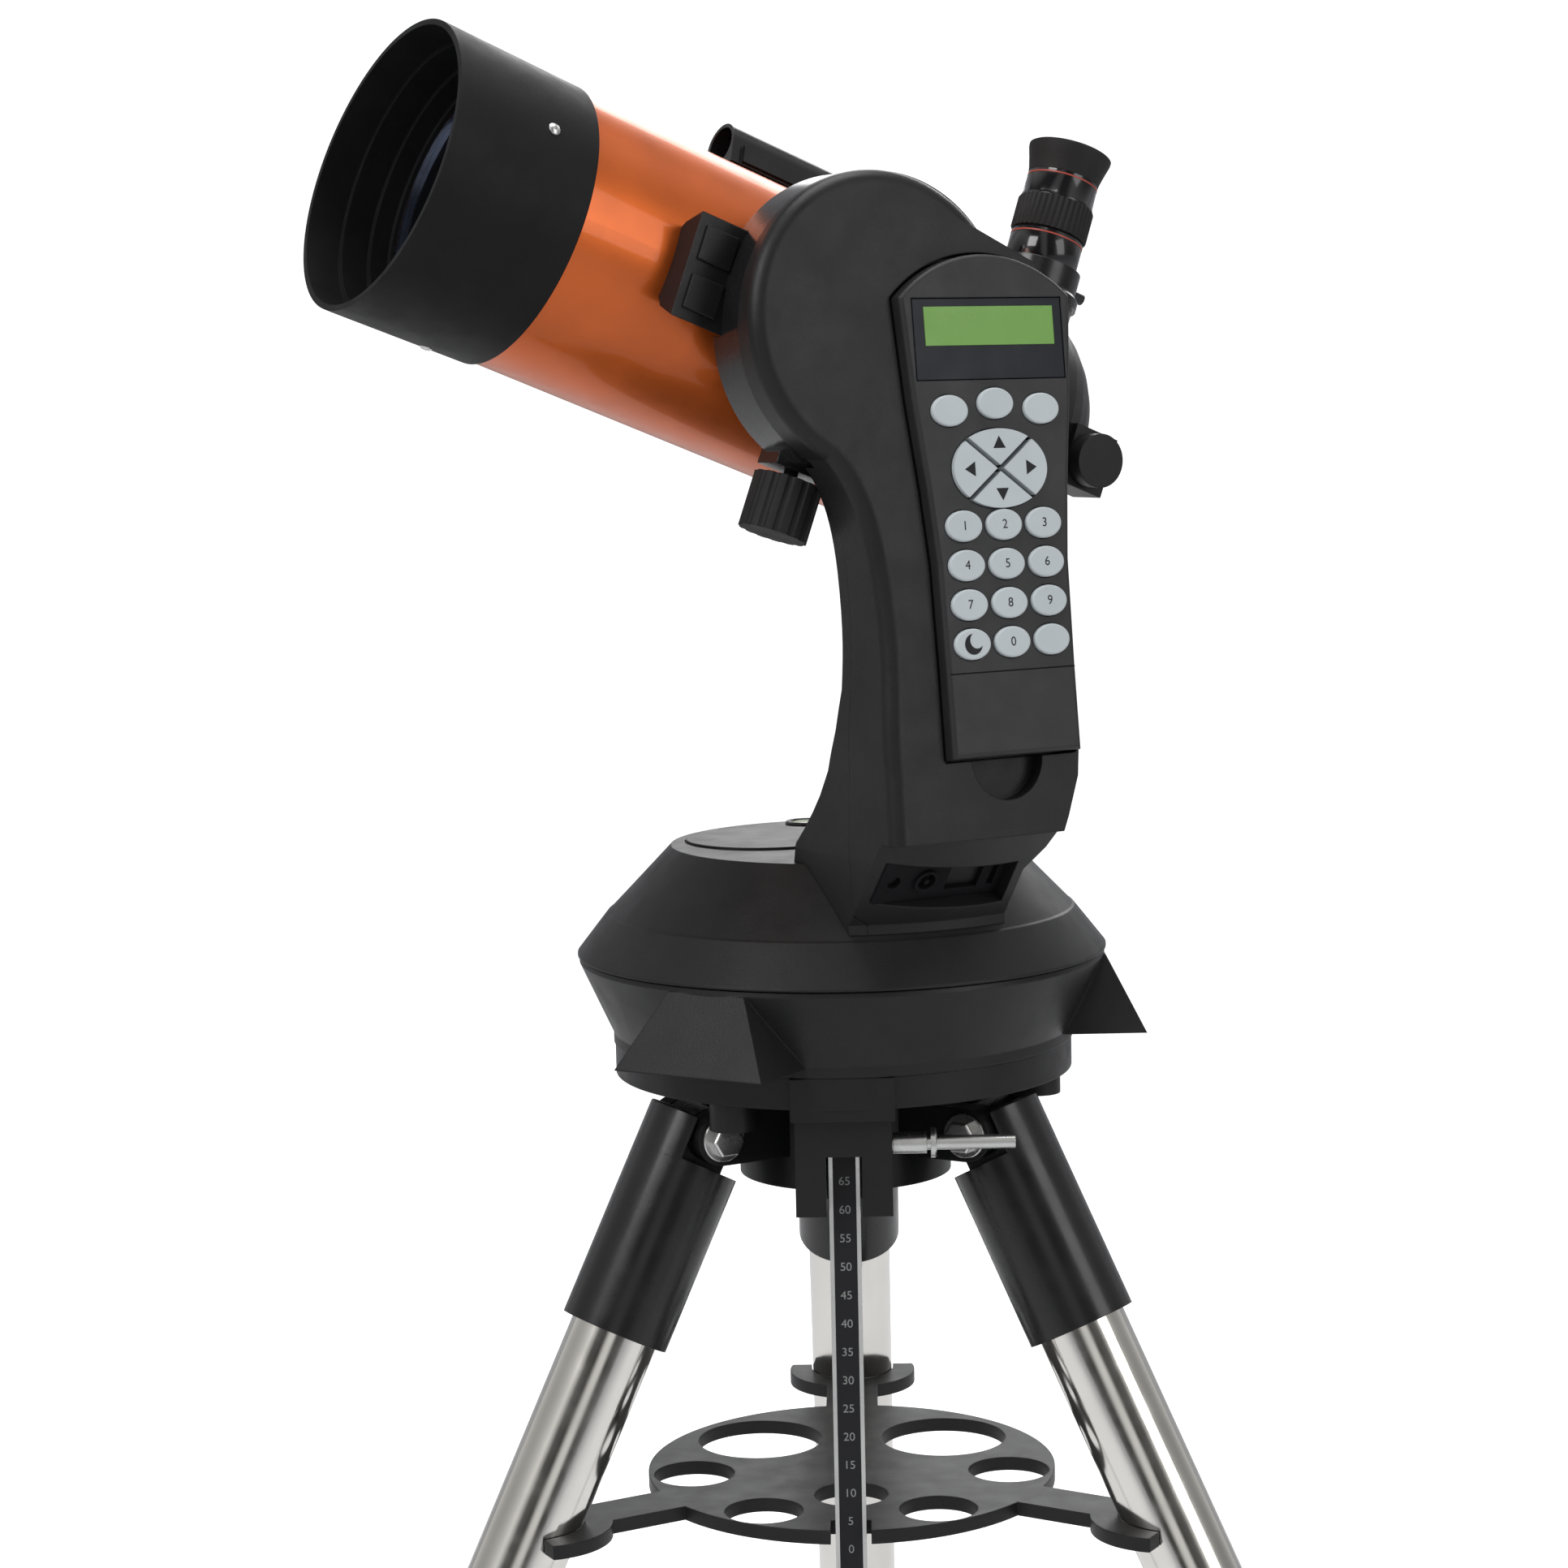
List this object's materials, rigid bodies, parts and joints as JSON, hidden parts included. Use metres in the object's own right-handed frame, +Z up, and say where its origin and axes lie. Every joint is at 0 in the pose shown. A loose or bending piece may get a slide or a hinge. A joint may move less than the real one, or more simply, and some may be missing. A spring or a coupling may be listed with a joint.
{
  "type": "schmidt cassegrain telescope",
  "caption": "Computerised catadioptric telescope on a single-arm altazimuth mount with hand control, on a wedge tripod with an accessory tray.",
  "frame": {"origin": "on the floor, at the middle of the footprint of the three feet", "axes": "+Z up; the rear leg points along +Y"},
  "size_m": [0.665, 0.5805, 1.05],
  "materials": {
    "black_casting": "satin black paint",
    "black_plastic": "fine textured black plastic",
    "gloss_black": "gloss black",
    "stainless": "polished stainless steel",
    "steel": "zinc plated",
    "orange_paint": "metallic orange paint",
    "glass": "coated glass",
    "mirror": "aluminised",
    "grey_key": "light grey rubber keys",
    "display": "green backlit display",
    "rubber": "black rubber",
    "brass": "machined brass"
  },
  "bodies": {
    "tripod": {"tripod_head": "black_casting", "pivot_bolts": "steel"},
    "accessory_tray": {"accessory_tray": "black_plastic"},
    "wedge": {"wedge_plate": "black_casting", "mounting_knobs": "black_plastic", "base_shell": "black_plastic", "azimuth_gear": "brass"},
    "latitude_bar": {"latitude_bar": "steel"},
    "latitude_clamp": {"latitude_clamp": "steel"},
    "swinging_mount": {"turntable": "black_plastic", "arm_outer": "black_plastic", "arm_inner": "black_plastic", "port_panel": "black_plastic"},
    "battery_cover": {"battery_cover": "black_plastic"},
    "optical_assembly": {"saddle": "gloss_black", "dovetail_bar": "black_casting", "optical_tube": "orange_paint", "front_cell": "black_plastic", "corrector": "glass", "rear_cell": "black_plastic", "eyepiece_port": "gloss_black", "finder": "black_plastic"},
    "saddle_knob": {"saddle_knob": "black_plastic"},
    "primary_mirror": {"primary_mirror": "mirror"},
    "focus_knob": {"focus_knob": "rubber"},
    "flip_mirror": {"flip_mirror": "black_plastic"},
    "eyepiece": {"eyepiece": "gloss_black"},
    "hand_control": {"hand_control": "black_plastic", "display_window": "display"},
    "leg_1": {"leg_sleeve_1": "black_casting", "leg_tube_1": "stainless"},
    "leg_extension_1": {"leg_extension_1": "stainless"},
    "leg_knob_1": {"leg_knob_1": "black_plastic"},
    "leg_2": {"leg_sleeve_2": "black_casting", "leg_tube_2": "stainless"},
    "leg_extension_2": {"leg_extension_2": "stainless"},
    "leg_knob_2": {"leg_knob_2": "black_plastic"},
    "leg_3": {"leg_sleeve_3": "black_casting", "leg_tube_3": "stainless"},
    "leg_extension_3": {"leg_extension_3": "stainless"},
    "leg_knob_3": {"leg_knob_3": "black_plastic"},
    "key_left_menu": {"key_left_menu": "grey_key"},
    "key_middle_menu": {"key_middle_menu": "grey_key"},
    "key_right_menu": {"key_right_menu": "grey_key"},
    "key_row1_1": {"key_row1_1": "grey_key"},
    "key_row1_2": {"key_row1_2": "grey_key"},
    "key_row1_3": {"key_row1_3": "grey_key"},
    "key_row2_1": {"key_row2_1": "grey_key"},
    "key_row2_2": {"key_row2_2": "grey_key"},
    "key_row2_3": {"key_row2_3": "grey_key"},
    "key_row3_1": {"key_row3_1": "grey_key"},
    "key_row3_2": {"key_row3_2": "grey_key"},
    "key_row3_3": {"key_row3_3": "grey_key"},
    "key_row4_1": {"key_row4_1": "grey_key"},
    "key_row4_2": {"key_row4_2": "grey_key"},
    "key_row4_3": {"key_row4_3": "grey_key"},
    "key_right_arrow": {"key_right_arrow": "grey_key"},
    "key_up_arrow": {"key_up_arrow": "grey_key"},
    "key_left_arrow": {"key_left_arrow": "grey_key"},
    "key_down_arrow": {"key_down_arrow": "grey_key"}
  },
  "joints": [
    {"name": "leg_1_fold", "type": "hinge", "parent": "tripod", "child": "leg_1", "pos_m": [0, -0.01967, 0.5884], "axis": [-1, 0, 0], "range_deg": [0, 8]},
    {"name": "leg_1_extension", "type": "slide", "parent": "leg_1", "child": "leg_extension_1", "axis": [0, 0.4571, -0.8894], "range_m": [0, 0.3]},
    {"name": "leg_1_clamp_turn", "type": "hinge", "parent": "leg_1", "child": "leg_knob_1", "pos_m": [0, 0.2319, 0.16452], "axis": [0, 0.8894, 0.4571], "range_deg": [-360, 0]},
    {"name": "leg_2_fold", "type": "hinge", "parent": "tripod", "child": "leg_2", "pos_m": [-0.06235, -0.12767, 0.5884], "axis": [0.5, -0.866, 0], "range_deg": [0, 8]},
    {"name": "leg_2_extension", "type": "slide", "parent": "leg_2", "child": "leg_extension_2", "axis": [-0.3959, -0.2285, -0.8894], "range_m": [0, 0.3]},
    {"name": "leg_2_clamp_turn", "type": "hinge", "parent": "leg_2", "child": "leg_knob_2", "pos_m": [-0.28022, -0.25346, 0.16452], "axis": [-0.7703, -0.4447, 0.4571], "range_deg": [-360, 0]},
    {"name": "leg_3_fold", "type": "hinge", "parent": "tripod", "child": "leg_3", "pos_m": [0.06235, -0.12767, 0.5884], "axis": [0.5, 0.866, 0], "range_deg": [0, 8]},
    {"name": "leg_3_extension", "type": "slide", "parent": "leg_3", "child": "leg_extension_3", "axis": [0.3959, -0.2285, -0.8894], "range_m": [0, 0.3]},
    {"name": "leg_3_clamp_turn", "type": "hinge", "parent": "leg_3", "child": "leg_knob_3", "pos_m": [0.28022, -0.25346, 0.16452], "axis": [0.7703, -0.4447, 0.4571], "range_deg": [-360, 0]},
    {"name": "tray_travel", "type": "slide", "parent": "tripod", "child": "accessory_tray", "axis": [0, 0, -1], "range_m": [0, 0.0774]},
    {"name": "wedge_tilt", "type": "hinge", "parent": "tripod", "child": "wedge", "pos_m": [0, -0.01967, 0.599], "axis": [-1, 0, 0], "range_deg": [0, 60]},
    {"name": "latitude_bar_swing", "type": "hinge", "parent": "wedge", "child": "latitude_bar", "pos_m": [0, -0.17167, 0.614], "axis": [-1, 0, 0], "range_deg": [-31.5, 0]},
    {"name": "latitude_clamp_turn", "type": "hinge", "parent": "tripod", "child": "latitude_clamp", "pos_m": [0.03, -0.17167, 0.591], "axis": [1, 0, 0], "range_deg": [-360, 0]},
    {"name": "azimuth_turn", "type": "hinge", "parent": "wedge", "child": "swinging_mount", "pos_m": [0, -0.09167, 0.671], "axis": [0, 0, 1], "continuous": true},
    {"name": "battery_cover_lift", "type": "slide", "parent": "swinging_mount", "child": "battery_cover", "axis": [0, 0, 1], "range_m": [0, 0.03]},
    {"name": "altitude_turn", "type": "hinge", "parent": "swinging_mount", "child": "optical_assembly", "pos_m": [0.01338, -0.17292, 0.9255], "axis": [-0.5298, 0.8481, 0], "range_deg": [-36, 68]},
    {"name": "saddle_knob_turn", "type": "hinge", "parent": "optical_assembly", "child": "saddle_knob", "pos_m": [-0.0202, -0.18305, 0.85497], "axis": [0.3071, 0.1918, 0.9321], "range_deg": [-720, 0]},
    {"name": "focus_turn", "type": "hinge", "parent": "optical_assembly", "child": "focus_knob", "pos_m": [0.09375, -0.00953, 0.8847], "axis": [0.7906, 0.4938, -0.3621], "range_deg": [-1440, 1440]},
    {"name": "primary_mirror_travel", "type": "slide", "parent": "optical_assembly", "child": "primary_mirror", "axis": [-0.7906, -0.4938, 0.3621], "range_m": [-0.006, 0.006]},
    {"name": "flip_mirror_turn", "type": "hinge", "parent": "optical_assembly", "child": "flip_mirror", "pos_m": [0.11075, -0.09324, 0.86843], "axis": [0.5298, -0.8481, 0], "range_deg": [0, 40]},
    {"name": "eyepiece_draw", "type": "slide", "parent": "optical_assembly", "child": "eyepiece", "axis": [0.279, 0.236, 0.9309], "range_m": [0, 0.04]},
    {"name": "hand_control_lift", "type": "slide", "parent": "swinging_mount", "child": "hand_control", "axis": [0.5269, -0.8435, 0.1045], "range_m": [0, 0.06]},
    {"name": "key_left_menu_press", "type": "slide", "parent": "hand_control", "child": "key_left_menu", "axis": [-0.5269, 0.8435, -0.1045], "range_m": [0, 0.001], "stiffness_N_per_m": 800, "springref_m": -0.0005},
    {"name": "key_middle_menu_press", "type": "slide", "parent": "hand_control", "child": "key_middle_menu", "axis": [-0.5269, 0.8435, -0.1045], "range_m": [0, 0.001], "stiffness_N_per_m": 800, "springref_m": -0.0005},
    {"name": "key_right_menu_press", "type": "slide", "parent": "hand_control", "child": "key_right_menu", "axis": [-0.5269, 0.8435, -0.1045], "range_m": [0, 0.001], "stiffness_N_per_m": 800, "springref_m": -0.0005},
    {"name": "key_row1_1_press", "type": "slide", "parent": "hand_control", "child": "key_row1_1", "axis": [-0.5269, 0.8435, -0.1045], "range_m": [0, 0.001], "stiffness_N_per_m": 800, "springref_m": -0.0005},
    {"name": "key_row1_2_press", "type": "slide", "parent": "hand_control", "child": "key_row1_2", "axis": [-0.5269, 0.8435, -0.1045], "range_m": [0, 0.001], "stiffness_N_per_m": 800, "springref_m": -0.0005},
    {"name": "key_row1_3_press", "type": "slide", "parent": "hand_control", "child": "key_row1_3", "axis": [-0.5269, 0.8435, -0.1045], "range_m": [0, 0.001], "stiffness_N_per_m": 800, "springref_m": -0.0005},
    {"name": "key_row2_1_press", "type": "slide", "parent": "hand_control", "child": "key_row2_1", "axis": [-0.5269, 0.8435, -0.1045], "range_m": [0, 0.001], "stiffness_N_per_m": 800, "springref_m": -0.0005},
    {"name": "key_row2_2_press", "type": "slide", "parent": "hand_control", "child": "key_row2_2", "axis": [-0.5269, 0.8435, -0.1045], "range_m": [0, 0.001], "stiffness_N_per_m": 800, "springref_m": -0.0005},
    {"name": "key_row2_3_press", "type": "slide", "parent": "hand_control", "child": "key_row2_3", "axis": [-0.5269, 0.8435, -0.1045], "range_m": [0, 0.001], "stiffness_N_per_m": 800, "springref_m": -0.0005},
    {"name": "key_row3_1_press", "type": "slide", "parent": "hand_control", "child": "key_row3_1", "axis": [-0.5269, 0.8435, -0.1045], "range_m": [0, 0.001], "stiffness_N_per_m": 800, "springref_m": -0.0005},
    {"name": "key_row3_2_press", "type": "slide", "parent": "hand_control", "child": "key_row3_2", "axis": [-0.5269, 0.8435, -0.1045], "range_m": [0, 0.001], "stiffness_N_per_m": 800, "springref_m": -0.0005},
    {"name": "key_row3_3_press", "type": "slide", "parent": "hand_control", "child": "key_row3_3", "axis": [-0.5269, 0.8435, -0.1045], "range_m": [0, 0.001], "stiffness_N_per_m": 800, "springref_m": -0.0005},
    {"name": "key_row4_1_press", "type": "slide", "parent": "hand_control", "child": "key_row4_1", "axis": [-0.5269, 0.8435, -0.1045], "range_m": [0, 0.001], "stiffness_N_per_m": 800, "springref_m": -0.0005},
    {"name": "key_row4_2_press", "type": "slide", "parent": "hand_control", "child": "key_row4_2", "axis": [-0.5269, 0.8435, -0.1045], "range_m": [0, 0.001], "stiffness_N_per_m": 800, "springref_m": -0.0005},
    {"name": "key_row4_3_press", "type": "slide", "parent": "hand_control", "child": "key_row4_3", "axis": [-0.5269, 0.8435, -0.1045], "range_m": [0, 0.001], "stiffness_N_per_m": 800, "springref_m": -0.0005},
    {"name": "key_right_arrow_press", "type": "slide", "parent": "hand_control", "child": "key_right_arrow", "axis": [-0.5269, 0.8435, -0.1045], "range_m": [0, 0.001], "stiffness_N_per_m": 800, "springref_m": -0.0005},
    {"name": "key_up_arrow_press", "type": "slide", "parent": "hand_control", "child": "key_up_arrow", "axis": [-0.5269, 0.8435, -0.1045], "range_m": [0, 0.001], "stiffness_N_per_m": 800, "springref_m": -0.0005},
    {"name": "key_left_arrow_press", "type": "slide", "parent": "hand_control", "child": "key_left_arrow", "axis": [-0.5269, 0.8435, -0.1045], "range_m": [0, 0.001], "stiffness_N_per_m": 800, "springref_m": -0.0005},
    {"name": "key_down_arrow_press", "type": "slide", "parent": "hand_control", "child": "key_down_arrow", "axis": [-0.5269, 0.8435, -0.1045], "range_m": [0, 0.001], "stiffness_N_per_m": 800, "springref_m": -0.0005}
  ],
  "couplings": [
    {"joint": "leg_2_fold", "follows": "leg_1_fold", "ratio": 1},
    {"joint": "leg_3_fold", "follows": "leg_1_fold", "ratio": 1},
    {"joint": "tray_travel", "follows": "leg_1_fold", "m_per_rad": 0.5536},
    {"joint": "latitude_bar_swing", "follows": "wedge_tilt", "ratio": -0.52},
    {"joint": "focus_turn", "follows": "primary_mirror_travel", "rad_per_m": 4188.8}
  ]
}
